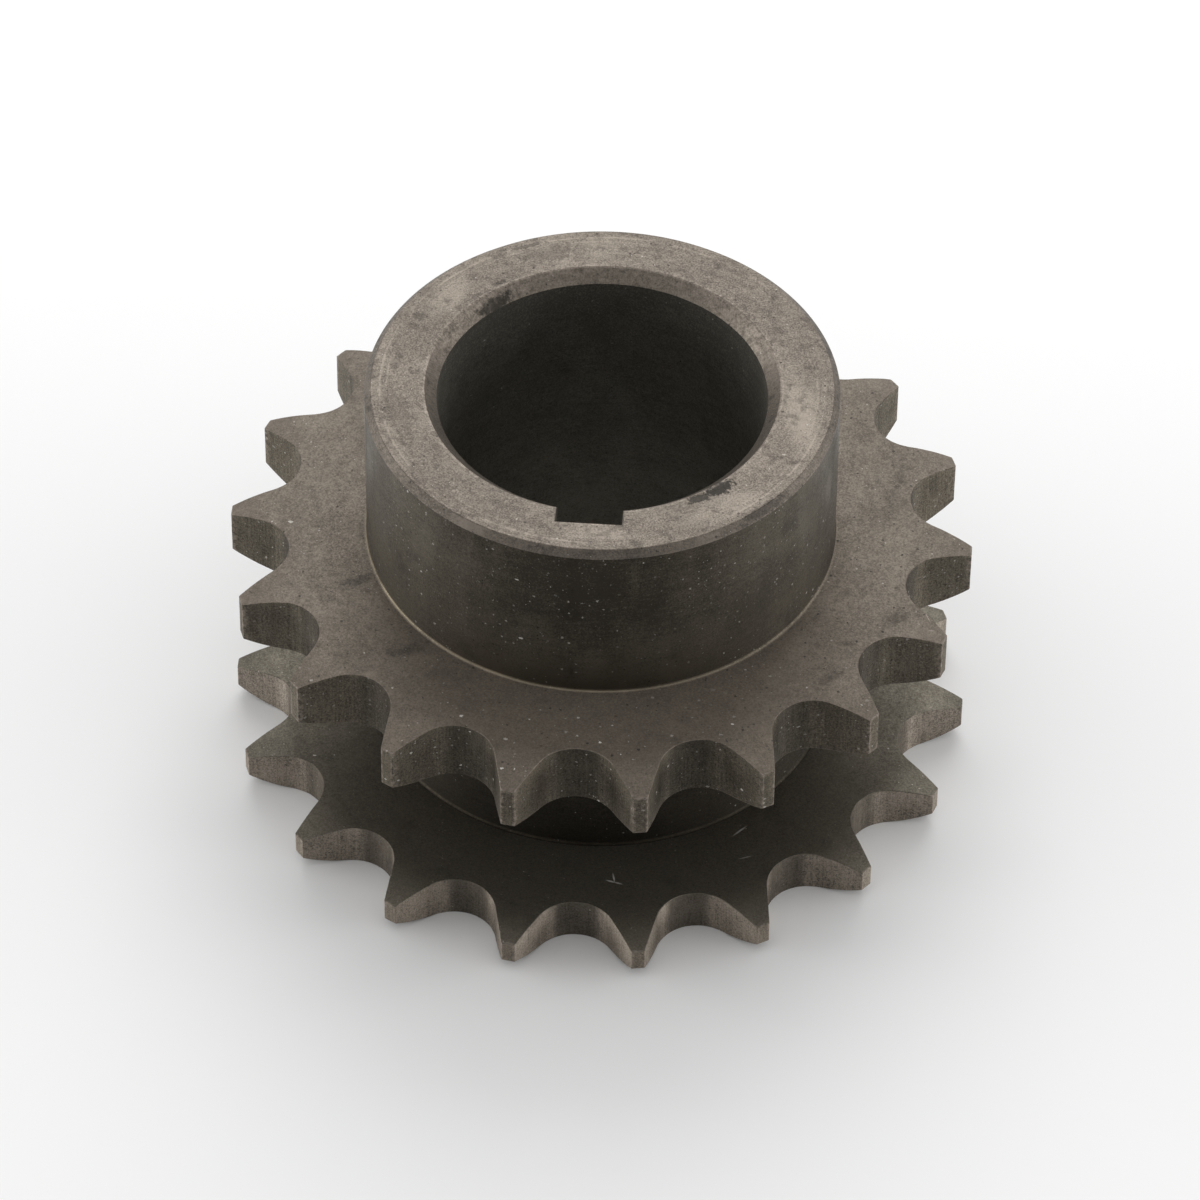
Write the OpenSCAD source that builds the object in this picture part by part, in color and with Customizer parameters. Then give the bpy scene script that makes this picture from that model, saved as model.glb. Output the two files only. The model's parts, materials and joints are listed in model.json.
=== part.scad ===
// Crankshaft gear: a double-row chain sprocket, turned and toothed from one piece of steel.
// The wide row under the hub drives the timing chain, the narrow row at the foot drives an auxiliary chain.
// The keyed bore seats on the crankshaft nose.
// Millimetres. +Z runs along the bore from the narrow row to the hub, the narrow row's outer face lies on
// Z = 0, and the keyway and one tooth gap of each row point towards -Y.

/* [Chain] */
// Pitch of both chains, from roller centre to roller centre
chain_pitch = 9.525; // [9:0.025:12]
// Number of teeth in each row
teeth = 18; // [17:1:30]

/* [Tooth form] */
// Radius of the roller seat at the bottom of a tooth gap
seat_r = 3.24; // [2.8:0.02:3.5]
// Angle that the seat's arc spans between its two flanks
seat_angle = 114; // [108:1:124]
// Height of the tooth tips above the pitch circle
tip_h = 1.29; // [0.9:0.01:1.5]
// Radial height of the rounding on the sides of the teeth, measured from the tip
side_h = 3.7; // [2:0.1:4]

/* [Timing row] */
// Thickness of the upper, wide row
timing_w = 5.2; // [4:0.05:8]
// Radius of the rounding on both sides of its teeth
timing_side_r = 11.2; // [7:0.1:14]

/* [Auxiliary row] */
// Thickness of the lower, narrow row
auxiliary_w = 3.65; // [3:0.05:6]
// Radius of the rounding on the inner side of its teeth
auxiliary_inner_r = 12.6; // [7:0.1:14]
// Radius of the rounding on the outer side of its teeth
auxiliary_outer_r = 8.3; // [6:0.1:14]

/* [Body] */
// Length of the neck, the clear gap between the two rows
neck_l = 11.8; // [6:0.1:20]
// Diameter of the neck
neck_d = 36; // [32:0.1:40]
// Diameter of the hub
hub_d = 36.2; // [32:0.1:40]
// Height of the hub above the timing row
hub_h = 14.5; // [5:0.1:25]
// Chamfer round the hub's outer edge
hub_chamfer = 0.5; // [0.2:0.05:1.2]
// Fillet where the hub and the neck meet the rows
fillet_r = 0.4; // [0.2:0.05:1]

/* [Bore] */
// Diameter of the bore that seats on the crankshaft nose
bore_d = 25.2; // [18:0.1:27]
// Chamfer at both ends of the bore
bore_chamfer = 0.95; // [0.3:0.05:1.4]
// Width of the keyway
key_w = 5; // [3:0.1:8]
// Depth of the keyway below the bore's wall
key_depth = 2.2; // [1:0.1:2.4]

/* [Hidden] */

// Surface finish of the arcs
round_fn = 240;
fillet_step = 15;
// Reach of a cutter past the face that it cuts, and of a section into its neighbour
over = 0.5;
// The flank line lies this far inside the seat circle, so that it crosses the circle and isn't tangent to it
flank_inset = 0.01;
// The crest of a side rounding lies this far inside its start, so that it crosses the row's face at an angle
crest_inset = 0.4;

// Chain geometry
pitch_r = chain_pitch / (2 * sin(180 / teeth));
tip_r = pitch_r + tip_h;
crest_r = tip_r - side_h - crest_inset;
gap_half = seat_angle / 2;

// Stack of levels along the axis
timing_z = auxiliary_w + neck_l;
hub_z = timing_z + timing_w;
top_z = hub_z + hub_h;
bore_r = bore_d / 2;

// Height of a rounding's crest above the face that it rounds off
function crest_lift(r) = r - sqrt(r * r - crest_inset * crest_inset);

// Half section of one toothed row, from the axis to the tip circle, with both sides rounded towards the tips
module row_section(w, upper_r, lower_r) {
    intersection() {
        square([tip_r, w]);
        union() {
            square([crest_r, w]);
            intersection() {
                translate([crest_r, w + crest_lift(upper_r) - upper_r])
                    circle(r = upper_r, $fn = 2 * round_fn);
                translate([crest_r, lower_r - crest_lift(lower_r)])
                    circle(r = lower_r, $fn = 2 * round_fn);
            }
        }
    }
}

// Points of the fillet at the foot of a cylinder, from the face that it stands on up to its wall
function fillet_points(d) =
    [for (a = [0 : fillet_step : 90]) [d / 2 + fillet_r * (1 - sin(a)), fillet_r * (1 - cos(a))]];

// Half section of the neck, with a fillet at each end, let into the rows above and below it
module neck_section() {
    lower = fillet_points(neck_d);
    upper = [for (i = [len(lower) - 1 : -1 : 0]) [lower[i].x, neck_l - lower[i].y]];
    foot_r = neck_d / 2 + fillet_r;
    polygon(concat([[0, -over], [foot_r, -over]], lower, upper, [[foot_r, neck_l + over], [0, neck_l + over]]));
}

// Half section of the hub, filleted at its foot, chamfered at its end and let into the row below it
module hub_section() {
    hub_r = hub_d / 2;
    rim = [[hub_r, hub_h - hub_chamfer], [hub_r - hub_chamfer, hub_h], [0, hub_h]];
    polygon(concat([[0, -over], [hub_r + fillet_r, -over]], fillet_points(hub_d), rim));
}

// Half section of the bore, opened by a chamfer at each end
module bore_section() {
    mouth_r = bore_r + bore_chamfer;
    polygon([
        [0, -over],
        [mouth_r + over, -over],
        [bore_r, bore_chamfer],
        [bore_r, top_z - bore_chamfer],
        [mouth_r + over, top_z + over],
        [0, top_z + over]
    ]);
}

// Half section of the turned blank
module blank_section() {
    difference() {
        union() {
            row_section(auxiliary_w, auxiliary_inner_r, auxiliary_outer_r);
            translate([0, auxiliary_w])
                neck_section();
            translate([0, timing_z])
                row_section(timing_w, timing_side_r, timing_side_r);
            translate([0, hub_z])
                hub_section();
        }
        bore_section();
    }
}

// Outline of one tooth gap on +X: the roller seat and the two flanks that open from it
module gap_outline() {
    flank_r = seat_r - flank_inset;
    seat_end = [pitch_r - flank_r * cos(gap_half), flank_r * sin(gap_half)];
    mouth_x = tip_r + over;
    mouth_y = seat_end.y + (mouth_x - seat_end.x) / tan(gap_half);
    translate([pitch_r, 0])
        circle(r = seat_r, $fn = round_fn);
    polygon([seat_end, [mouth_x, mouth_y], [mouth_x, -mouth_y], [seat_end.x, -seat_end.y]]);
}

// The tooth gaps, cut in one pass through both rows
module tooth_gaps() {
    for (i = [0 : teeth - 1])
        rotate(-90 + i * 360 / teeth)
            translate([0, 0, -over])
                linear_extrude(hub_z + 2 * over)
                    gap_outline();
}

// The keyway, broached along the whole bore
module keyway() {
    translate([-key_w / 2, -bore_r - key_depth, -over])
        cube([key_w, bore_r + key_depth, top_z + 2 * over]);
}

module crankshaft_gear() {
    color("#6e685f")
        difference() {
            rotate_extrude($fn = round_fn)
                blank_section();
            tooth_gaps();
            keyway();
        }
}

crankshaft_gear();
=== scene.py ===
import json
import math

import bpy
import numpy as np
from mathutils import Matrix, Vector


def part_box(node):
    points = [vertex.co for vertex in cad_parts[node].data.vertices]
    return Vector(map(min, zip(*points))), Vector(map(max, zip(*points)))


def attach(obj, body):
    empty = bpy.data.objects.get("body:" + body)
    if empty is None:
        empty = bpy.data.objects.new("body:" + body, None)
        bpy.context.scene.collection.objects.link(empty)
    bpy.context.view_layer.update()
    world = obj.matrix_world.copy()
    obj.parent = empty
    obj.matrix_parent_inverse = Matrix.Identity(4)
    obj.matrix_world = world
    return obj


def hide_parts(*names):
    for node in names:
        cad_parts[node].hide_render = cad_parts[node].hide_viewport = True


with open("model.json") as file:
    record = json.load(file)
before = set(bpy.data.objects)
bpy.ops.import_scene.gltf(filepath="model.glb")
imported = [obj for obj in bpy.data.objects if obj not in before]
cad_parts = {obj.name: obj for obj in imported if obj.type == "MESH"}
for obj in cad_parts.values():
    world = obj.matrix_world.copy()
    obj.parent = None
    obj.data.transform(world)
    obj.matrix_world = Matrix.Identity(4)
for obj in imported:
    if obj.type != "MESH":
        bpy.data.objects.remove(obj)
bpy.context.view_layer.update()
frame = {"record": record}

# Sizes in millimetres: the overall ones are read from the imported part, and the others repeat its own values
MM = 0.001
NODE = "crankshaft_gear"
part_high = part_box(NODE)[1]
mounts = {mount["name"]: mount for mount in frame["record"]["mounts"]}
TIP_R = part_high.x / MM
TOP_Z = part_high.z / MM
BORE_R = mounts["bore"]["dims"]["r_mm"]
KEY_FLOOR = -mounts["keyway"]["pos_m"][1] / MM
ROOT_R = -mounts["timing_chain_seat"]["pos_m"][1] / MM
TEETH = 18
SEAT_R = 3.24
SEAT_HALF = math.radians(57)
SIDE_H = 3.7
CREST_INSET = 0.4
AUXILIARY_W = 3.65
AUXILIARY_INNER_R = 12.6
AUXILIARY_OUTER_R = 8.3
TIMING_W = 5.2
TIMING_SIDE_R = 11.2
NECK_L = 11.8
NECK_R = 18.0
HUB_R = 18.1
HUB_CHAMFER = 0.5
BORE_CHAMFER = 0.95
KEY_W = 5.0
PITCH_R = ROOT_R + SEAT_R
CREST_R = TIP_R - SIDE_H - CREST_INSET
TIMING_Z = AUXILIARY_W + NECK_L
HUB_Z = TIMING_Z + TIMING_W
MOUTH_R = BORE_R + BORE_CHAMFER

# Fillets at the feet, slimmer than the part's own, as the photograph shows them
FOOT_R = 0.24

# Circles from which the rings of the rows' faces are spaced, near the bore's mouth, the neck and the hub
LOWER_FACE_R = MOUTH_R + 1
NECK_FOOT_R = NECK_R + 2 * FOOT_R
HUB_FOOT_R = HUB_R + 2 * FOOT_R

# Broken edges of the real piece
EDGE_R = 0.035
EDGE_SPREAD = 0.8
EDGE_LIMITS = (0.4, 2.2)
EDGE_SOFT = 7
CORNER_R = 0.12
MOUTH_EDGE_R = 0.09
MOUTH_RIM = 3 * MOUTH_EDGE_R
HUB_EDGE_R = 0.14
HUB_RIM = 3 * HUB_EDGE_R

# Angles from the keyway's middle within which all outlines of the mouth follow its walls and its floor
KEY_REACH = math.asin((KEY_W / 2 + MOUTH_RIM) / (MOUTH_R + MOUTH_RIM))
KEY_BEND = math.atan((KEY_W / 2 + MOUTH_RIM) / (KEY_FLOOR + MOUTH_RIM))

# Angle from a seat's bottom at which its painted shade ends, and the angle over which it fades
SEAT_SHADE = math.radians(30)
SEAT_SOFT = math.radians(13)

# Wear of the rims and of the wall along a gap's seat, flank, corner and land
RIM_WEAR = (0.03, 0.08, 0.6, 0.6)
WALL_WEAR = (0.0, 0.0, 0.7, 0.0)

# Strength of the painted light on a gap's flank, corner and land
FLANK_LIGHT_SHARES = (1.0, 0.5, 0.0)

# Wear of the two edges of the hub's chamfer and of the bore's mouths
HUB_EDGE_WEAR = (0.2, 0.45)
MOUTH_WEAR = 0.3

# Pale lines at the feet: strength on three rings of the fillet, and the share that is lost towards +X
FOOT_LINES = {"hub": (0.22, 0.7, 0.32), "neck": (0.05, 0.15, 0.08)}
FOOT_FADE = 0.8

# Steps of the mesh, and the shares of the way at which the rings of a face and of a wall lie
LAND_STEPS = 3
CORNER_STEPS = 2
FLANK_STEPS = 6
SEAT_STEPS = 13
EDGE_STEPS = 2
ARC_STEPS = 4
ARC_RINGS = ARC_STEPS + 1
ARC_MIDDLE = ARC_STEPS // 2
FACE_SHARES = (0.012, 0.04, 0.09, 0.16, 0.24, 0.33, 0.44, 0.72)
WALL_SHARES = (0.06, 0.5, 0.94)

# Seed of the broken edges' random width
SEED = 18

# Normals of flat faces
UP = np.array([0, 0, 1.0])
DOWN = np.array([0, 0, -1.0])


def unit(v):
    return v / np.linalg.norm(v, axis=-1, keepdims=True)


def gap_seat():
    """Points and normals of half a roller seat, and the angle of each point from the seat's bottom."""
    angles = np.linspace(0, SEAT_HALF, SEAT_STEPS + 1)
    normals = np.column_stack([np.cos(angles), -np.sin(angles)])
    return np.array([PITCH_R, 0]) - SEAT_R * normals, normals, angles


def gap_corner(start, normal):
    """Points and normals of the rounded corner where the flank that begins at start meets the tip circle."""
    along = np.array([-normal[1], normal[0]])
    reach = -start @ along + math.sqrt((start @ along) ** 2 + TIP_R**2 - start @ start)
    tip = start + reach * along
    land_normal = unit(tip)
    centre = tip - CORNER_R * (normal + land_normal) / (1 + normal @ land_normal)
    turn = np.linspace(0, 1, CORNER_STEPS + 1)[:, None]
    normals = unit(normal * (1 - turn) + land_normal * turn)
    return centre + CORNER_R * normals, normals


def gap_flank(start, end, normal):
    """Points and normals of the straight flank, without its two ends."""
    steps = np.linspace(0, 1, FLANK_STEPS + 1)[1:-1, None]
    points = start + (end - start) * steps
    return points, np.repeat(normal[None], len(points), axis=0)


def gap_land(start):
    """Points and normals of half a tip land, from past its corner to the middle of the tooth."""
    angles = np.linspace(math.atan2(start[1], start[0]), math.pi / TEETH, LAND_STEPS + 1)[1:]
    normals = np.column_stack([np.cos(angles), np.sin(angles)])
    return TIP_R * normals, normals


def half_gap():
    """Points, outward normals and marks of half a tooth gap, from its seat's bottom to a tip's middle."""
    seat, seat_normals, angles = gap_seat()
    start, normal = seat[-1], seat_normals[-1]
    corner, corner_normals = gap_corner(start, normal)
    flank, flank_normals = gap_flank(start, corner[0], normal)
    land, land_normals = gap_land(corner[-1])
    points = np.concatenate([seat, flank, corner, land])
    normals = np.concatenate([seat_normals, flank_normals, corner_normals, land_normals])
    shade = np.clip((SEAT_SHADE - angles) / SEAT_SOFT + 0.5, 0, 1)
    parts = (len(seat), len(flank), len(corner), len(land))
    # Columns: painted shade in the seat, painted light on the flank, wear of the rims, wear of the wall
    marks = np.column_stack([
        np.concatenate([shade, np.zeros(sum(parts[1:]))]),
        np.concatenate([1 - shade, np.repeat(FLANK_LIGHT_SHARES, parts[1:])]),
        np.repeat(RIM_WEAR, parts),
        np.repeat(WALL_WEAR, parts),
    ])
    return points, normals, marks


def tooth_outline():
    """The closed outline of a toothed row with its normals and marks, counter-clockwise, a gap towards -Y."""
    points, normals, marks = half_gap()
    mirror = np.array([1, -1])
    gap_points = np.concatenate([points[:0:-1] * mirror, points[:-1]])
    gap_normals = np.concatenate([normals[:0:-1] * mirror, normals[:-1]])
    gap_marks = np.concatenate([marks[:0:-1], marks[:-1]])
    outline, outward = [], []
    for tooth in range(TEETH):
        angle = -math.pi / 2 + tooth * 2 * math.pi / TEETH
        turn = np.array([[math.cos(angle), math.sin(angle)], [-math.sin(angle), math.cos(angle)]])
        outline.append(gap_points @ turn)
        outward.append(gap_normals @ turn)
    return np.concatenate(outline), np.concatenate(outward), np.tile(gap_marks, (TEETH, 1))


def rounded(corners):
    """Points (r, z) and normals along a line through (r, z, radius) corners, with an arc at each corner."""
    spots = [np.array(corner[:2], float) for corner in corners]
    ways = [unit(b - a) for a, b in zip(spots, spots[1:])]
    points, tangents = [spots[0]], [ways[0]]
    for here, corner, way_in, way_out in zip(spots[1:], corners[1:], ways, ways[1:]):
        half = math.acos(np.clip(way_in @ way_out, -1, 1)) / 2
        back = corner[2] * math.tan(half)
        start, end = here - way_in * back, here + way_out * back
        centre = here + unit(way_out - way_in) * corner[2] / math.cos(half)
        for share in np.linspace(0, 1, ARC_RINGS):
            spoke = unit(unit(start - centre) * (1 - share) + unit(end - centre) * share)
            points.append(centre + corner[2] * spoke)
            tangents.append(unit(way_in * (1 - share) + way_out * share))
    points.append(spots[-1])
    tangents.append(ways[-1])
    return [(p[0], p[1], t[1], -t[0]) for p, t in zip(points, tangents)]


class Skin:
    """The gear's surface as rings of equally many points, with the finish of the strip after each ring."""

    def __init__(self):
        self.outline, self.outward, marks = tooth_outline()
        shade, flank, self.wear, self.corner = marks.T
        self.wall_marks = {"seat": shade, "flank": flank}
        self.count = len(self.outline)
        self.across = np.column_stack([self.outward, np.zeros(self.count)])
        angles = np.arctan2(self.outline[:, 1], self.outline[:, 0])
        self.spokes = np.column_stack([np.cos(angles), np.sin(angles)])
        self.rng = np.random.default_rng(SEED)
        self.rings = []

    def add(self, xy, z, normal, finish, flat=False, **marks):
        """One more ring. Its marks are edge, foot, seat and flank, and a mark that isn't given is 0."""
        self.rings.append({
            "points": np.column_stack([xy, np.broadcast_to(z, self.count)]),
            "normals": np.broadcast_to(normal, (self.count, 3)),
            "finish": finish,
            "flat": flat,
            "marks": marks,
        })

    def turned(self, r, z, normal_r, normal_z, finish, **marks):
        normal = np.column_stack([self.spokes * normal_r, np.full(self.count, normal_z)])
        self.add(self.spokes * r, z, normal, finish, **marks)

    def spread(self):
        """A smooth random width of the broken edge along the outline."""
        rough = self.rng.normal(size=self.count)
        steps = range(-EDGE_SOFT, EDGE_SOFT + 1)
        soft = sum(np.roll(rough, step) for step in steps) / math.sqrt(len(steps))
        return EDGE_R * np.clip(1 + EDGE_SPREAD * soft, *EDGE_LIMITS)

    def keyed(self, r, grow=0.0):
        """Outline of the bore at radius r with its keyway, both widened by grow."""
        r = r + grow
        half, floor = KEY_W / 2 + grow, KEY_FLOOR + grow
        side = np.arctan2(self.spokes[:, 0], -self.spokes[:, 1])
        inside = np.flatnonzero(np.abs(side) < KEY_REACH)
        inside = inside[np.argsort(side[inside])]
        walls = np.count_nonzero(side[inside] > KEY_BEND)
        down = np.linspace(math.sqrt(r**2 - half**2), floor, walls, endpoint=False)
        across = np.linspace(-half, half, len(inside) - 2 * walls)
        xy = self.spokes * r
        xy[inside] = np.concatenate([
            np.column_stack([np.full(walls, -half), -down]),
            np.column_stack([across, np.full(len(across), -floor)]),
            np.column_stack([np.full(walls, half), -down[::-1]]),
        ])
        return xy

    def side(self, xy, z, way, side_r):
        """Height and normal of a row's side at each point: flat, then rounded towards the tips.

        way is 1 for the upper side and -1 for the lower one.
        """
        r = np.linalg.norm(xy, axis=1)
        out = np.maximum(0, r - CREST_R)
        sag = np.sqrt(side_r**2 - out**2)
        drop = math.sqrt(side_r**2 - CREST_INSET**2) - sag
        slope = np.where(drop > 0, out / sag, 0)
        normal = unit(np.column_stack([unit(xy) * slope[:, None], np.full(self.count, float(way))]))
        return z - way * np.maximum(0, drop), normal

    def face(self, inner_r, z, way, side_r, finish, wall):
        """Rings of a row's side from a circle out over its broken edge. The last ring lies on the wall."""
        width = self.spread()
        rim = self.outline - self.outward * width[:, None]
        inner = unit(rim) * inner_r
        rings = []
        for share in reversed(FACE_SHARES):
            xy = rim * (1 - share) + inner * share
            rings.append((xy, *self.side(xy, z, way, side_r), finish, {}))
        for step in range(EDGE_STEPS + 1):
            turn = step / EDGE_STEPS * math.pi / 2
            xy = self.outline - self.outward * (width * (1 - math.sin(turn)))[:, None]
            height, normal = self.side(xy, z, way, side_r)
            normal = unit(normal * math.cos(turn) + self.across * math.sin(turn))
            height = height - way * width * (1 - math.cos(turn))
            rings.append((xy, height, normal, finish, {"edge": self.wear}))
        xy, height, normal, _, marks = rings[-1]
        rings[-1] = (xy, height, normal, wall, {**marks, **self.wall_marks})
        return rings

    def row(self, levels, side_radii, inner_radii, finish, wall):
        """One toothed row: its lower side, the wall of its teeth and its upper side."""
        sides = zip(inner_radii, levels, (-1, 1), side_radii)
        lower, upper = [self.face(*side, finish, wall) for side in sides]
        for *ring, marks in lower:
            self.add(*ring, **marks)
        foot, head = lower[-1][1], upper[-1][1]
        for share in WALL_SHARES:
            level = foot + (head - foot) * share
            self.add(self.outline, level, self.across, wall, edge=self.corner, **self.wall_marks)
        for *ring, _, marks in reversed(upper):
            self.add(*ring, finish, **marks)

    def strip(self, place, points):
        """Quads from one ring to the next, and the normals at their corners."""
        after = (place + 1) % len(self.rings)
        here = np.arange(self.count)
        there = np.roll(here, -1)
        near, far = place * self.count, after * self.count
        quads = np.column_stack([near + here, near + there, far + there, far + here])
        if self.rings[place]["flat"]:
            corner = points[quads]
            level = unit(np.cross(corner[:, 2] - corner[:, 0], corner[:, 3] - corner[:, 1]))
            normals = np.repeat(level[:, None], 4, axis=1)
        else:
            a, b = self.rings[place]["normals"], self.rings[after]["normals"]
            normals = np.stack([a[here], a[there], b[there], b[here]], axis=1)
        return quads, normals.reshape(-1, 3)

    def build(self):
        """The closed mesh with its marks as attributes, and the names of its finishes in slot order."""
        points = np.concatenate([ring["points"] for ring in self.rings]) * MM
        strips = [self.strip(place, points) for place in range(len(self.rings))]
        quads, normals = [np.concatenate(part) for part in zip(*strips)]
        names = list(dict.fromkeys(ring["finish"] for ring in self.rings))
        slots = np.repeat([names.index(ring["finish"]) for ring in self.rings], self.count)
        mesh = bpy.data.meshes.new("gear_body")
        mesh.from_pydata(points.tolist(), [], quads.tolist())
        mesh.polygons.foreach_set("material_index", slots.astype(np.int32))
        mesh.polygons.foreach_set("use_smooth", np.ones(len(mesh.polygons), bool))
        for mark in ("edge", "foot", "seat", "flank"):
            values = [np.broadcast_to(ring["marks"].get(mark, 0.0), self.count) for ring in self.rings]
            layer = mesh.attributes.new(mark, "FLOAT", "POINT")
            layer.data.foreach_set("value", np.concatenate(values).astype(np.float32))
        mesh.update()
        mesh.normals_split_custom_set(normals.tolist())
        return mesh, names


def add_lower_mouth(skin):
    b = MOUTH_EDGE_R
    skin.add(skin.keyed(BORE_R), BORE_CHAMFER, DOWN, "bore_mouth", flat=True)
    skin.add(skin.keyed(MOUTH_R - b / 2), b / 2, DOWN, "lower_face", flat=True, edge=MOUTH_WEAR)
    skin.add(skin.keyed(MOUTH_R, b), 0, DOWN, "lower_face", edge=MOUTH_WEAR)
    skin.add(skin.keyed(MOUTH_R, MOUTH_RIM), 0, DOWN, "lower_face")


def add_upper_mouth(skin):
    b = MOUTH_EDGE_R
    skin.add(skin.keyed(MOUTH_R, MOUTH_RIM), TOP_Z, UP, "hub_face")
    skin.add(skin.keyed(MOUTH_R, b), TOP_Z, UP, "bore_mouth", flat=True, edge=MOUTH_WEAR)
    skin.add(skin.keyed(MOUTH_R - b / 2), TOP_Z - b / 2, UP, "bore_mouth", flat=True, edge=MOUTH_WEAR)
    skin.add(skin.keyed(BORE_R), TOP_Z - BORE_CHAMFER, UP, "bore_wall", flat=True)


def foot_line(skin, name, step):
    """Strength of the pale line at a foot, on the middle ring of its fillet and the two beside it."""
    place = step - ARC_MIDDLE
    strength = FOOT_LINES[name][place] if 0 <= place <= 2 else 0.0
    return strength * (1 - FOOT_FADE * np.maximum(0, skin.spokes[:, 0]))


def add_neck(skin):
    lines = rounded([
        (NECK_FOOT_R, AUXILIARY_W),
        (NECK_R, AUXILIARY_W, FOOT_R),
        (NECK_R, TIMING_Z, FOOT_R),
        (NECK_FOOT_R, TIMING_Z),
    ])
    ends = {0: "lower_face", len(lines) - 1: "row_face"}
    for step, line in enumerate(lines):
        skin.turned(*line, ends.get(step, "neck"), foot=foot_line(skin, "neck", step))


def add_hub(skin):
    lines = rounded([
        (HUB_FOOT_R, HUB_Z),
        (HUB_R, HUB_Z, FOOT_R),
        (HUB_R, TOP_Z - HUB_CHAMFER, HUB_EDGE_R),
        (HUB_R - HUB_CHAMFER, TOP_Z, HUB_EDGE_R),
        (HUB_R - HUB_CHAMFER - HUB_RIM, TOP_Z),
    ])
    ends = {"row_face": ARC_MIDDLE, "hub_wall": ARC_RINGS, "hub_rim": 2 * ARC_RINGS, "hub_face": len(lines)}
    edges = {ARC_MIDDLE + 1 + ARC_RINGS * place: wear for place, wear in enumerate(HUB_EDGE_WEAR, 1)}
    for step, line in enumerate(lines):
        finish = next(name for name, end in ends.items() if step <= end)
        skin.turned(*line, finish, edge=edges.get(step, 0.0), foot=foot_line(skin, "hub", step))


def gear_skin():
    """The gear's surface from the bore's lower mouth round the rows, neck and hub, and back down the bore."""
    skin = Skin()
    add_lower_mouth(skin)
    auxiliary_sides = (AUXILIARY_OUTER_R, AUXILIARY_INNER_R)
    skin.row((0, AUXILIARY_W), auxiliary_sides, (LOWER_FACE_R, NECK_FOOT_R), "lower_face", "lower_wall")
    add_neck(skin)
    timing_sides = (TIMING_SIDE_R, TIMING_SIDE_R)
    skin.row((TIMING_Z, HUB_Z), timing_sides, (NECK_FOOT_R, HUB_FOOT_R), "row_face", "upper_wall")
    add_hub(skin)
    add_upper_mouth(skin)
    return skin


# Colours of dust, worn edges, painted light on the flanks, bare nicks, foot lines, and grime with painted
# shade
DUST = (0.62, 0.59, 0.54)
WORN = (0.34, 0.29, 0.25)
FLANK_LIGHT_COLOUR = (0.55, 0.48, 0.41)
BARE = (0.75, 0.72, 0.68)
FOOT_TINT = (0.28, 0.235, 0.165)
GRIME_AND_SHADE = (0.020, 0.018, 0.015)

# Noises by name: scale on coordinates in millimetres, detail, roughness
NOISES = {
    "streak": (1.0, 3.0, 0.6),
    "wipe": (1.0, 3.0, 0.55),
    "cloud": (0.24, 5.0, 0.62),
    "blotch": (2.4, 4.0, 0.7),
    "fine": (7.0, 3.0, 0.75),
    "smear": (0.33, 6.0, 0.7),
    "smudge": (1.1, 3.0, 0.6),
    "torn": (2.4, 5.0, 0.75),
    "drift": (0.2, 2.0, 0.5),
}
NOISE_MIDDLE = 0.5

# Specks by name: cells in one millimetre, scale of the coordinates, strength
SPECKS = {
    "pit": (2.6, (1, 1, 1), 0.75),
    "powder": (3.2, (1, 1, 1), 0.5),
    "dust": (1.9, (1, 1, 1), 0.55),
    "fleck": (0.7, (0.6, 1, 1.3), 0.75),
    "litter": (1.6, (0.7, 1, 1), 1.0),
}
SPECK_NOISE = {"Scale": 9.0, "Detail": 1.0}
SPECK_RAGGED = 1.5
SPECK_RARITY = 3.0
SPECK_FAINTEST = 0.3
POWDER_SHARE = 0.6

# Spots: half depth where a spot gives none, share of the radius that stays full, and raggedness
SPOT_DEPTH = 0.8
SPOT_CORE = 0.35
WEAR_AND_HIGHLIGHT_RAGGED = 1.6
NICK_RAGGED = 0.4

# Limits between which a noise brings out smears, smudges, turned lines and worn edges
SMEAR_LIMITS = (0.52, 0.72)
SMUDGE_LIMITS = (0.52, 0.7)
LINE_LIMITS = (0.4, 0.62)
WORN_LIMITS = (0.38, 0.7)

# Limits of a noise, and the strength of foot lines and of drifts of dust at each
FOOT_LIMITS = (0.3, 0.65, 0.5, 1.3)
DRIFT_LIMITS = (0.35, 0.6, 0.25, 1.0)

# Share of a turned line's half width that stays full, and strength of the painted shade in the seats
LINE_CORE = 0.3
SEAT_PAINTED_SHADE = 0.5

# Gloss and relief
ROUGH_SPREAD = 0.08
WORN_GLOSS = 0.1
DUST_METAL = 0.1
QUARTER_TURN = 0.25
MARK_RELIEF = 0.6
GRAIN_RELIEF = 0.4
BUMP = {"Strength": 0.35, "Distance": 0.00006}

# Colour sockets of Blender's Mix node
MIX_A, MIX_B, MIX_RESULT = 6, 7, 2

# Depths between which the painted light and shade of the hub's front and the littered front teeth fade out,
# and the stretch of wiped bands
PAINTED_FRONT_DEPTHS = (-HUB_R, -13.0)
LITTERED = (-23.0, -15.0)
WIPE_SCALE = (0.45, 0.45, 0.07)


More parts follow.
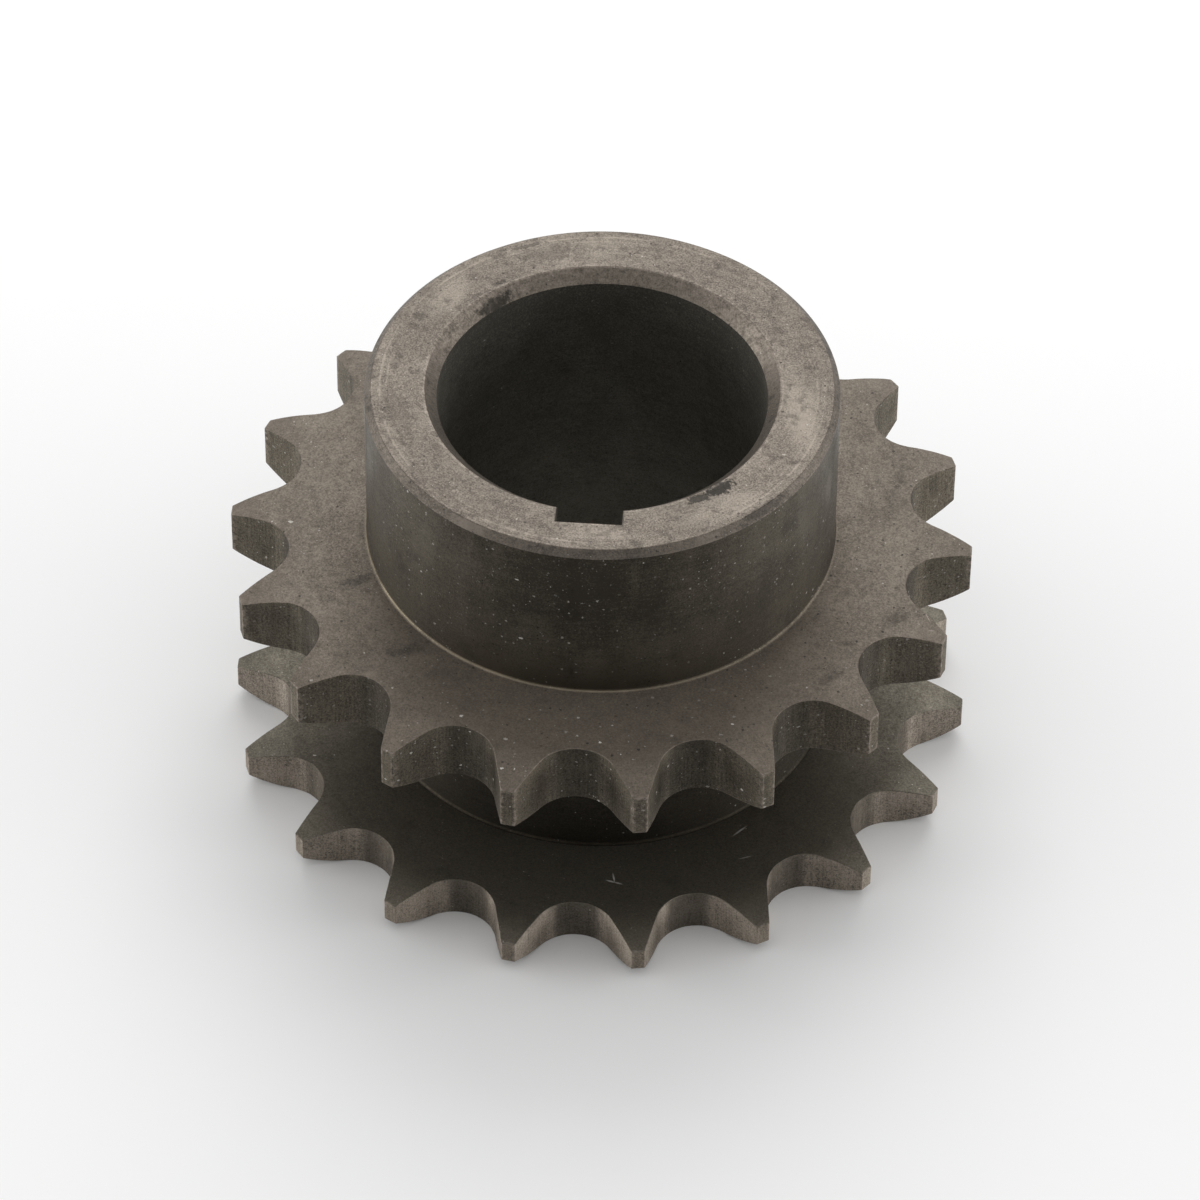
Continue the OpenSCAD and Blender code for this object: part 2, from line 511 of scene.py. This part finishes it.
class Paint:
    """The nodes of one material, on coordinates in millimetres."""

    def __init__(self, name):
        self.material = bpy.data.materials.new(name)
        self.material.use_nodes = True
        self.nodes = self.material.node_tree.nodes
        self.links = self.material.node_tree.links
        self.shader = self.nodes["Principled BSDF"]
        place = self.node("TexCoord").outputs["Object"]
        self.place = self.vector("SCALE", place, scale=1 / MM)
        flat = self.vector("MULTIPLY", self.place, (1, 1, 0))
        self.around = self.vector("NORMALIZE", flat)
        self.radius = self.vector("LENGTH", flat)
        split = self.node("SeparateXYZ", {"Vector": self.place}).outputs
        self.depth, self.height = split["Y"], split["Z"]

    def feed(self, socket, value):
        if isinstance(value, bpy.types.NodeSocket):
            self.links.new(value, socket)
        else:
            socket.default_value = value

    def node(self, kind, inputs=None, **settings):
        made = self.nodes.new("ShaderNode" + kind)
        for key, value in settings.items():
            setattr(made, key, value)
        for key, value in (inputs or {}).items():
            self.feed(made.inputs[key], value)
        return made

    def vector(self, operation, a, b=None, scale=None):
        made = self.node("VectorMath", operation=operation)
        self.feed(made.inputs[0], a)
        if b is not None:
            self.feed(made.inputs[1], b)
        if scale is not None:
            self.feed(made.inputs["Scale"], scale)
        return made.outputs["Value" if operation == "LENGTH" else "Vector"]

    def math(self, operation, a, b=0.0, clamp=False):
        made = self.node("Math", operation=operation, use_clamp=clamp)
        self.feed(made.inputs[0], a)
        self.feed(made.inputs[1], b)
        return made.outputs[0]

    def ramp(self, value, low, high, first=0.0, last=1.0):
        inputs = {"Value": value, "From Min": low, "From Max": high, "To Min": first, "To Max": last}
        return self.node("MapRange", inputs, interpolation_type="SMOOTHSTEP").outputs["Result"]

    def blend(self, factor, a, b):
        made = self.node("Mix", data_type="RGBA")
        self.feed(made.inputs["Factor"], factor)
        for socket, value in ((made.inputs[MIX_A], a), (made.inputs[MIX_B], b)):
            self.feed(socket, value if isinstance(value, bpy.types.NodeSocket) else (*value, 1))
        return made.outputs[MIX_RESULT]

    def mark(self, name):
        """A mark of the mesh."""
        return self.node("Attribute", attribute_name=name).outputs["Fac"]

    def most(self, masks):
        """The strongest of several masks."""
        strongest, *others = masks
        for mask in others:
            strongest = self.math("MAXIMUM", strongest, mask)
        return strongest

    def noise(self, name, vector=None):
        """A named noise on the gear's own coordinates or on others."""
        scale, detail, rough = NOISES[name]
        place = self.place if vector is None else vector
        inputs = {"Vector": place, "Scale": scale, "Detail": detail, "Roughness": rough}
        return self.node("TexNoise", inputs).outputs["Fac"]

    def swing(self, noise, amount):
        """A noise about its middle, times an amount."""
        return self.math("MULTIPLY", self.math("SUBTRACT", noise, NOISE_MIDDLE), amount)

    def streaks(self, kind, along, across):
        """Drawn-out noise: rings round the bore, lines round a turned wall, or lines along the axis."""
        if kind == "axial":
            return self.noise("streak", self.vector("MULTIPLY", self.place, (across, across, along)))
        run = self.radius if kind == "rings" else self.height
        lift = self.node("CombineXYZ", {"Z": self.math("MULTIPLY", run, across)}).outputs["Vector"]
        ring = self.vector("SCALE", self.around, scale=along)
        return self.noise("streak", self.vector("ADD", ring, lift))

    def specks(self, name, size):
        """Mask of scattered ragged specks, up to size millimetres in radius where they aren't stretched."""
        scale, stretch, strength = SPECKS[name]
        rough = self.node("TexNoise", {"Vector": self.place, **SPECK_NOISE}).outputs["Color"]
        moved = self.vector("ADD", self.place, self.vector("SCALE", rough, scale=SPECK_RAGGED * size))
        made = self.node("TexVoronoi", {"Vector": self.vector("MULTIPLY", moved, stretch), "Scale": scale})
        chance = self.node("SeparateColor", {"Color": made.outputs["Color"]}).outputs
        room = self.math("MULTIPLY", self.math("POWER", chance["Red"], SPECK_RARITY), size * scale)
        found = self.math("LESS_THAN", made.outputs["Distance"], room)
        mask = self.math("MULTIPLY", found, self.ramp(chance["Green"], 0.0, 1.0, SPECK_FAINTEST, 1.0))
        return self.math("MULTIPLY", mask, strength)

    def spot(self, centre, size, turn, ragged, core=SPOT_CORE):
        """Mask of one ragged spot: its centre and half sizes in millimetres, and its turn in degrees."""
        inputs = {
            "Vector": self.place,
            "Location": centre,
            "Rotation": (0, 0, math.radians(turn)),
            "Scale": (*size, SPOT_DEPTH)[:3],
        }
        away = self.vector("LENGTH", self.node("Mapping", inputs, vector_type="TEXTURE").outputs["Vector"])
        away = self.math("ADD", away, self.swing(self.noise("torn"), ragged))
        return self.ramp(away, core, 1.0, 1.0, 0.0)


class Steel(Paint):
    """Dull machined steel with tool marks, mottle, smears, pits, worn edges, stains and dust, and with
    painted light and shade.
    """

    def __init__(self, name, kind, look):
        super().__init__(name)
        self.look = look
        self.marks = self.streaks(kind, look["along"], look["across"])
        self.cloud = self.noise("cloud")
        self.blotch = self.noise("blotch")
        self.fine = self.noise("fine")

    def tone(self):
        """Where each point lies between the darkest and the palest level."""
        look = self.look
        tone = NOISE_MIDDLE
        layers = {"streak": self.marks, "mottle": self.cloud, "blotch": self.blotch, "grain": self.fine}
        for name, layer in layers.items():
            tone = self.math("ADD", tone, self.swing(layer, look[name]))
        for shade in self.shades():
            tone = self.math("ADD", tone, shade)
        return self.math("ADD", tone, 0.0, clamp=True)

    def shades(self):
        """What else moves the tone: painted light and shade by height and on the front, wiped bands, worn
        spots, painted highlights and turned lines.
        """
        look = self.look
        # Painted light and shade by height
        if look["rise"]:
            yield self.ramp(self.height, *look["rise"])
        # Painted light low on the hub's front and painted shade higher up
        if look["front"]:
            ahead = self.ramp(self.depth, *PAINTED_FRONT_DEPTHS, 1.0, 0.0)
            yield self.math("MULTIPLY", ahead, self.ramp(self.height, *look["front"]))
        if look["wipe"]:
            bands = self.noise("wipe", self.vector("MULTIPLY", self.place, WIPE_SCALE))
            yield self.swing(bands, look["wipe"])
        # Worn spots, and painted highlights and painted light given as spots
        for *shape, strength in look["wear"]:
            yield self.math("MULTIPLY", self.spot(*shape, WEAR_AND_HIGHLIGHT_RAGGED), strength)
        for radius, width, strength in look["lines"]:
            off = self.math("ABSOLUTE", self.math("SUBTRACT", self.radius, radius))
            line = self.ramp(off, LINE_CORE * width, width, strength, 0.0)
            yield self.math("MULTIPLY", line, self.ramp(self.cloud, *LINE_LIMITS))

    def metal(self, tone, low, high):
        """Colour of the steel itself, paler on the flanks with painted light."""
        dark, pale = [tuple(level * part for part in self.look["tint"]) for level in (low, high)]
        colour = self.blend(tone, dark, pale)
        # Painted light on the flanks
        if self.look["flank_light"]:
            rubbed_and_painted_light = self.math("MULTIPLY", self.mark("flank"), tone)
            rubbed_and_painted_light = self.math("MULTIPLY", rubbed_and_painted_light, self.look["flank_light"], clamp=True)
            colour = self.blend(rubbed_and_painted_light, colour, FLANK_LIGHT_COLOUR)
        return colour

    def grime_and_shade(self):
        """Mask of smears, pits, smudges, stains, and painted shade at the bottoms of the seats."""
        look = self.look
        smear = self.ramp(self.noise("smear"), *SMEAR_LIMITS, 0.0, look["smear"])
        masks = [smear, self.specks("pit", look["pit"])]
        if look["smudge"]:
            masks.append(self.ramp(self.noise("smudge"), *SMUDGE_LIMITS, 0.0, look["smudge"]))
        # Painted shade at the bottoms of the seats
        masks.append(self.math("MULTIPLY", self.mark("seat"), SEAT_PAINTED_SHADE))
        for *shape, strength in look["stains"]:
            masks.append(self.math("MULTIPLY", self.spot(*shape, *look["torn"]), strength))
        return self.most(masks)

    def foot(self):
        """Mask of the pale lines at the feet of the hub and the neck."""
        return self.math("MULTIPLY", self.mark("foot"), self.ramp(self.cloud, *FOOT_LIMITS))

    def worn(self):
        """Mask of the worn edges."""
        return self.math("MULTIPLY", self.mark("edge"), self.ramp(self.blotch, *WORN_LIMITS))

    def nicked(self, colour):
        """The colour with bare nicks in it."""
        for *shape, strength in self.look["nicks"]:
            nick = self.math("MULTIPLY", self.spot(*shape, NICK_RAGGED), strength)
            colour = self.blend(nick, colour, self.look["bare"])
        return colour

    def dust(self):
        """Mask of powder, specks and flecks of dust in drifts, and of litter on the front teeth."""
        look = self.look
        sizes = {"powder": POWDER_SHARE * look["dust"], "dust": look["dust"], "fleck": look["fleck"]}
        dust = self.most([self.specks(name, size) for name, size in sizes.items()])
        dust = self.math("MULTIPLY", dust, self.ramp(self.noise("drift"), *DRIFT_LIMITS))
        if look["litter"]:
            ahead = self.ramp(self.depth, *LITTERED, 1.0, 0.0)
            litter = self.math("MULTIPLY", self.specks("litter", look["litter"]), ahead)
            dust = self.math("MAXIMUM", dust, litter)
        return dust

    def set_gloss(self, tone, worn, dust, rough):
        """Metal, roughness, and the drawn-out gloss of turned and milled walls."""
        inputs = self.shader.inputs
        self.feed(inputs["Metallic"], self.ramp(dust, 0.0, 1.0, self.look["metal"], DUST_METAL))
        tuned = self.ramp(tone, 0.0, 1.0, rough + ROUGH_SPREAD, rough - ROUGH_SPREAD)
        rubbed_and_painted_light = self.math("MULTIPLY", worn, WORN_GLOSS)
        self.feed(inputs["Roughness"], self.math("SUBTRACT", tuned, rubbed_and_painted_light))
        if self.look["drawn"]:
            inputs["Anisotropic"].default_value = self.look["drawn"]
            inputs["Anisotropic Rotation"].default_value = QUARTER_TURN
            tangent = self.node("Tangent", direction_type="RADIAL", axis="Z")
            self.feed(inputs["Tangent"], tangent.outputs["Tangent"])

    def set_relief(self):
        """Fine bump of the tool marks and the grain."""
        marks = self.math("MULTIPLY", self.marks, MARK_RELIEF)
        grain = self.math("MULTIPLY", self.fine, GRAIN_RELIEF)
        bump = self.node("Bump", {"Height": self.math("ADD", marks, grain), **BUMP})
        self.feed(self.shader.inputs["Normal"], bump.outputs["Normal"])


# Spots seen in the photograph: centre and half sizes in millimetres, turn in degrees, strength
HUB_STAINS = (
    ((-8.9, 9.1, 34.7), (2.3, 0.75), 46, 0.85),
    ((-8.6, 11.1, 35.1), (0.5, 0.3), 30, 0.6),
    ((-6.9, 15.4, 35.1), (1.7, 0.22), 22, 0.6),
    ((9.5, -10.4, 35.1), (1.5, 0.8), 42, 0.95),
    ((8.0, -11.6, 35.1), (1.1, 0.5), 25, 0.8),
    ((-5.3, 14.7, 35.1), (2.8, 1.3), 20, 0.3),
    ((-6.6, -14.1, 35.1), (5.0, 1.4), -25, 0.2),
    ((15.0, -7.1, 35.1), (0.7, 0.3), 20, 0.5),
    ((13.0, -12.1, 34.9), (2.6, 0.4), 46, 0.5),
    ((-15.3, -3.8, 35.1), (4.5, 1.1), 105, 0.25),
)
HUB_WEAR = (
    ((15.2, -1.9, 35.1), (5.2, 1.7), 98, 0.35),
    ((-12.6, 9.0, 35.1), (3.2, 1.4), 54, 0.3),
    ((1.5, -15.9, 35.1), (3.6, 0.8), 3, 0.2),
    ((9.8, -12.5, 35.1), (4.2, 1.6), 37, 0.25),
)
# Painted highlights near the limbs of the hub's wall, given as worn spots
HUB_WALL_PAINTED_HIGHLIGHTS = (
    ((-17.8, -2.4, 31.2), (1.1, 0.8, 3.2), 82, 0.5),
    ((-16.4, -7.4, 30.8), (0.8, 0.8, 3.0), 66, 0.25),
    ((17.5, -4.4, 29.8), (1.0, 0.8, 2.6), -76, 0.4),
)
WALL_STAINS = (
    ((12.8, -12.8, 26.0), (5.0, 3.0, 5.0), 45, 0.3),
)
# Painted light on the front of the hub's chamfer, given as worn spots
RIM_PAINTED_LIGHT = (
    ((-8.9, -15.4, 34.9), (2.2, 0.9), -30, 0.5),
    ((8.9, -15.4, 34.9), (1.8, 0.9), 30, 0.3),
)
ROW_STAINS = (
    ((-18.6, -7.9, 20.6), (2.3, 0.8), 30, 0.5),
    ((-20.0, -9.9, 20.6), (1.6, 0.6), -10, 0.4),
    ((-13.9, -14.9, 20.6), (2.4, 0.8), 22, 0.45),
    ((23.2, -8.6, 20.6), (1.7, 0.9), 34, 0.45),
    ((19.6, -11.6, 20.6), (0.7, 0.4), 0, 0.4),
    ((18.4, -15.4, 20.6), (2.2, 0.7), 49, 0.45),
    ((22.8, 6.9, 20.6), (2.8, 0.7), 82, 0.3),
    ((-22.2, 0.9, 20.6), (2.6, 0.7), 108, 0.25),
)
ROW_NICKS = (
    ((25.6, -8.1, 20.4), (0.55, 0.06), 118, 0.8),
    ((25.9, -9.3, 20.3), (0.35, 0.06), 20, 0.7),
)
LOWER_NICKS = (
    ((2.4, -21.8, 3.6), (0.5, 0.11), -15, 1.0),
    ((3.0, -21.95, 3.6), (0.45, 0.10), -15, 0.9),
    ((2.62, -21.4, 3.6), (0.6, 0.09), 103, 1.0),
    ((12.0, -15.75, 3.6), (1.0, 0.11), 48, 0.7),
    ((12.6, -18.5, 3.6), (0.7, 0.08), 23, 0.5),
)

# Turned lines on the hub's top: radius, half width, strength
HUB_LINES = ((16.9, 0.12, 0.35), (16.4, 0.1, 0.2))

# Painted light and shade by height: two heights and the tone at each
# On the hub's wall: painted light towards the top, darker below
HUB_WALL_PAINTED_LIGHT = (HUB_Z, TOP_Z, -0.08, 0.08)
# On the hub's front: painted light low down and painted shade higher up
HUB_FRONT_PAINTED_LIGHT_AND_SHADE = (HUB_Z, HUB_Z + 8.7, 0.6, -0.45)
# In the bore: painted light low down and painted shade towards the top
BORE_PAINTED_LIGHT_AND_SHADE = (8.0, TOP_Z, 0.3, -0.35)

# What all finishes share unless they say otherwise
USUAL = {
    # Tint, and how often the tool marks change along and across their run
    "tint": (1.0, 0.865, 0.665), "along": 6.0, "across": 5.0,
    # Strength of tool marks, clouds, blotches and grain in the tone
    "streak": 0.6, "mottle": 0.9, "blotch": 0.5, "grain": 2.3,
    # Strength of smears and smudges, and the largest radius of pits, dust, flecks and litter
    "smear": 0.25, "smudge": 0.0, "pit": 0.1, "dust": 0.12, "fleck": 0.15, "litter": 0.0,
    # Metal, drawn-out gloss, painted light on the flanks, and the colour of nicks
    "metal": 0.9, "drawn": 0.0, "flank_light": 0.0, "bare": WORN,
    # Painted light and shade by height, painted light and shade of the front by height, and strength of wiped
    # bands
    "rise": (), "front": (), "wipe": 0.0,
    # Stains with their raggedness and core, worn spots and painted highlights, nicks and turned lines
    "stains": (), "torn": (1.8, 0.1), "wear": (), "nicks": (), "lines": (),
}
HUB_TOP = {
    "tint": (1.0, 0.86, 0.715), "blotch": 0.9, "smudge": 0.4, "pit": 0.11, "dust": 0.07, "fleck": 0.1,
    "stains": HUB_STAINS, "torn": (2.2, 0.65),
}
FACED = {"along": 8.0, "across": 1.5, "streak": 0.4}
TURNED = {"along": 6.0, "across": 3.0, "drawn": 0.8}
MILLED = {"along": 0.3, "across": 7.0, "streak": 0.7, "drawn": 0.8}
CLEAN = {"dust": 0.08, "fleck": 0.1, "pit": 0.07}

# Finishes: darkest and palest level, roughness, direction of the tool marks, and what differs from the usual
FINISHES = {
    "hub_face": (0.08, 0.19, 0.45, "rings", {
        **HUB_TOP, "along": 3.0, "across": 5.0, "streak": 0.35, "mottle": 0.8,
        "wear": HUB_WEAR, "lines": HUB_LINES,
    }),
    "hub_rim": (0.085, 0.19, 0.55, "rings", {
        **HUB_TOP, "along": 5.0, "across": 4.0, "metal": 0.75, "wear": RIM_PAINTED_LIGHT,
    }),
    # The hub's wall is kept darker than the faces: partly painted shade
    "hub_wall": (0.045, 0.115, 0.47, "turned", {
        **TURNED, "smear": 0.4, "mottle": 1.2, "wipe": 0.9, "rise": HUB_WALL_PAINTED_LIGHT, "front": HUB_FRONT_PAINTED_LIGHT_AND_SHADE,
        "wear": HUB_WALL_PAINTED_HIGHLIGHTS, "stains": WALL_STAINS,
    }),
    "row_face": (0.11, 0.215, 0.6, "rings", {
        **FACED, "tint": (1.0, 0.845, 0.675), "metal": 0.6, "blotch": 0.8, "pit": 0.12, "dust": 0.09,
        "fleck": 0.13, "litter": 0.13, "stains": ROW_STAINS, "nicks": ROW_NICKS,
    }),
    "lower_face": (0.085, 0.19, 0.52, "rings", {
        **FACED, **CLEAN, "tint": (1.0, 0.90, 0.715), "nicks": LOWER_NICKS, "bare": BARE,
    }),
    # The upper row's walls are kept darker: partly painted shade of the walls facing the front
    "upper_wall": (0.055, 0.18, 0.6, "axial", {**MILLED, "litter": 0.12}),
    # The lower row's walls are kept paler: painted light of the floor, with painted light on the flanks
    "lower_wall": (0.11, 0.34, 0.6, "axial", {**MILLED, **CLEAN, "tint": (1.0, 0.865, 0.70), "flank_light": 0.5}),
    # The neck is kept very dark: painted shade of the recess between the rows
    "neck": (0.026, 0.052, 0.57, "turned", {**TURNED, **CLEAN}),
    "bore_mouth": (0.105, 0.245, 0.45, "turned", {
        **HUB_TOP, "along": 5.0, "across": 4.0, "torn": (1.0, 0.6),
    }),
    "bore_wall": (0.12, 0.29, 0.6, "turned", {
        **CLEAN, "tint": (1.0, 0.945, 0.80), "across": 3.0, "rise": BORE_PAINTED_LIGHT_AND_SHADE,
    }),
}


def make_steel(name):
    """The material of one finish."""
    low, high, rough, kind, look = FINISHES[name]
    steel = Steel(name, kind, {**USUAL, **look})
    tone = steel.tone()
    worn = steel.worn()
    dust = steel.dust()
    colour = steel.metal(tone, low, high)
    # Grime, with painted shade at the bottoms of the seats
    colour = steel.blend(steel.grime_and_shade(), colour, GRIME_AND_SHADE)
    colour = steel.blend(steel.foot(), colour, FOOT_TINT)
    colour = steel.blend(worn, colour, WORN)
    colour = steel.nicked(colour)
    colour = steel.blend(dust, colour, DUST)
    steel.feed(steel.shader.inputs["Base Color"], colour)
    steel.set_gloss(tone, worn, dust, rough)
    steel.set_relief()
    return steel.material


def make_gear():
    mesh, names = gear_skin().build()
    gear = bpy.data.objects.new("gear_body", mesh)
    bpy.context.scene.collection.objects.link(gear)
    for name in names:
        mesh.materials.append(make_steel(name))
    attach(gear, "root")
    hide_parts(NODE)


# Camera of the photograph: millimetres and degrees, about the middle of the timing row's upper face
LENS = 210.26
SENSOR = 36.0
AZIMUTH = 3.658
ELEVATION = 44.991
ROLL = 0.585
DISTANCE = 541.8
AIM_X = -0.081
AIM_Y = -5.918
CLIP_NEAR = 10
CLIP_FAR = 10000


def make_camera():
    azimuth, elevation, roll = (math.radians(v) for v in (AZIMUTH, ELEVATION, ROLL))
    level = Vector((math.cos(azimuth), math.sin(azimuth), 0))
    ahead = Vector((math.sin(azimuth), -math.cos(azimuth), 0))
    back = ahead * math.cos(elevation) + Vector((0, 0, math.sin(elevation)))
    upright = back.cross(level)
    right = level * math.cos(roll) + upright * math.sin(roll)
    up = upright * math.cos(roll) - level * math.sin(roll)
    place = Vector((0, 0, HUB_Z)) + right * AIM_X + up * AIM_Y + back * DISTANCE
    data = bpy.data.cameras.new("camera")
    data.lens = LENS
    data.sensor_width = SENSOR
    data.clip_start, data.clip_end = CLIP_NEAR * MM, CLIP_FAR * MM
    camera = bpy.data.objects.new("camera", data)
    bpy.context.scene.collection.objects.link(camera)
    camera.matrix_world = Matrix.Translation(place * MM) @ Matrix((right, up, back)).transposed().to_4x4()
    bpy.context.scene.camera = camera


# Floor, dark card in front of the gear and light of the surroundings, with sizes in metres
FLOOR_HALF = 1.5
FLOOR_Z = -0.00002
FLOOR_COLOUR = 0.93
CARD_Y = -0.30
CARD_HALF = 0.20
CARD_FOOT = 0.002
CARD_TOP = 0.25
CARD_COLOUR = 0.02
AMBIENT = 0.72

# Lamps by name: angle from the camera's side, rise, reach in metres, width, height, radiance
LAMPS = {
    "lamp_left": (90.0, 13.0, 0.56, 0.45, 0.25, 3.3),
    "lamp_right": (-90.0, 13.0, 0.56, 0.45, 0.25, 3.3),
    "lamp_back": (180.0, 42.0, 0.80, 0.65, 0.50, 2.6),
}


def plain_sheet(name, corners, colour):
    """A matt sheet of the studio, such as its floor."""
    mesh = bpy.data.meshes.new(name)
    mesh.from_pydata(corners, [], [(0, 1, 2, 3)])
    sheet = bpy.data.objects.new(name, mesh)
    bpy.context.scene.collection.objects.link(sheet)
    material = bpy.data.materials.new(name)
    material.use_nodes = True
    shader = material.node_tree.nodes["Principled BSDF"]
    shader.inputs["Base Color"].default_value = (colour, colour, colour, 1)
    shader.inputs["Roughness"].default_value = 1.0
    shader.inputs["Specular IOR Level"].default_value = 0.0
    mesh.materials.append(material)
    return sheet


def make_studio():
    s, z = FLOOR_HALF, FLOOR_Z
    plain_sheet("floor", [(-s, -s, z), (s, -s, z), (s, s, z), (-s, s, z)], FLOOR_COLOUR)
    w, y, foot, top = CARD_HALF, CARD_Y, CARD_FOOT, CARD_TOP
    card = plain_sheet("dark_card", [(-w, y, foot), (w, y, foot), (w, y, top), (-w, y, top)], CARD_COLOUR)
    card.visible_camera = False


def make_lamp(name, turn, rise, reach, width, height, radiance):
    """A softbox that faces the gear."""
    data = bpy.data.lights.new(name, "AREA")
    data.shape = "RECTANGLE"
    data.size, data.size_y = width, height
    data.energy = math.pi * width * height * radiance
    lamp = bpy.data.objects.new(name, data)
    turn, rise = math.radians(turn), math.radians(rise)
    way = Vector((-math.sin(turn) * math.cos(rise), -math.cos(turn) * math.cos(rise), math.sin(rise)))
    lamp.location = way * reach
    lamp.rotation_euler = (-way).to_track_quat("-Z", "Y").to_euler()
    lamp.visible_camera = False
    bpy.context.scene.collection.objects.link(lamp)


def make_world():
    world = bpy.data.worlds.new("studio")
    world.use_nodes = True
    sky = world.node_tree.nodes["Background"]
    sky.inputs["Color"].default_value = (1, 1, 1, 1)
    sky.inputs["Strength"].default_value = AMBIENT
    bpy.context.scene.world = world


make_camera()
make_gear()
make_studio()
for name, setting in LAMPS.items():
    make_lamp(name, *setting)
make_world()
bpy.context.scene.view_settings.view_transform = "Standard"
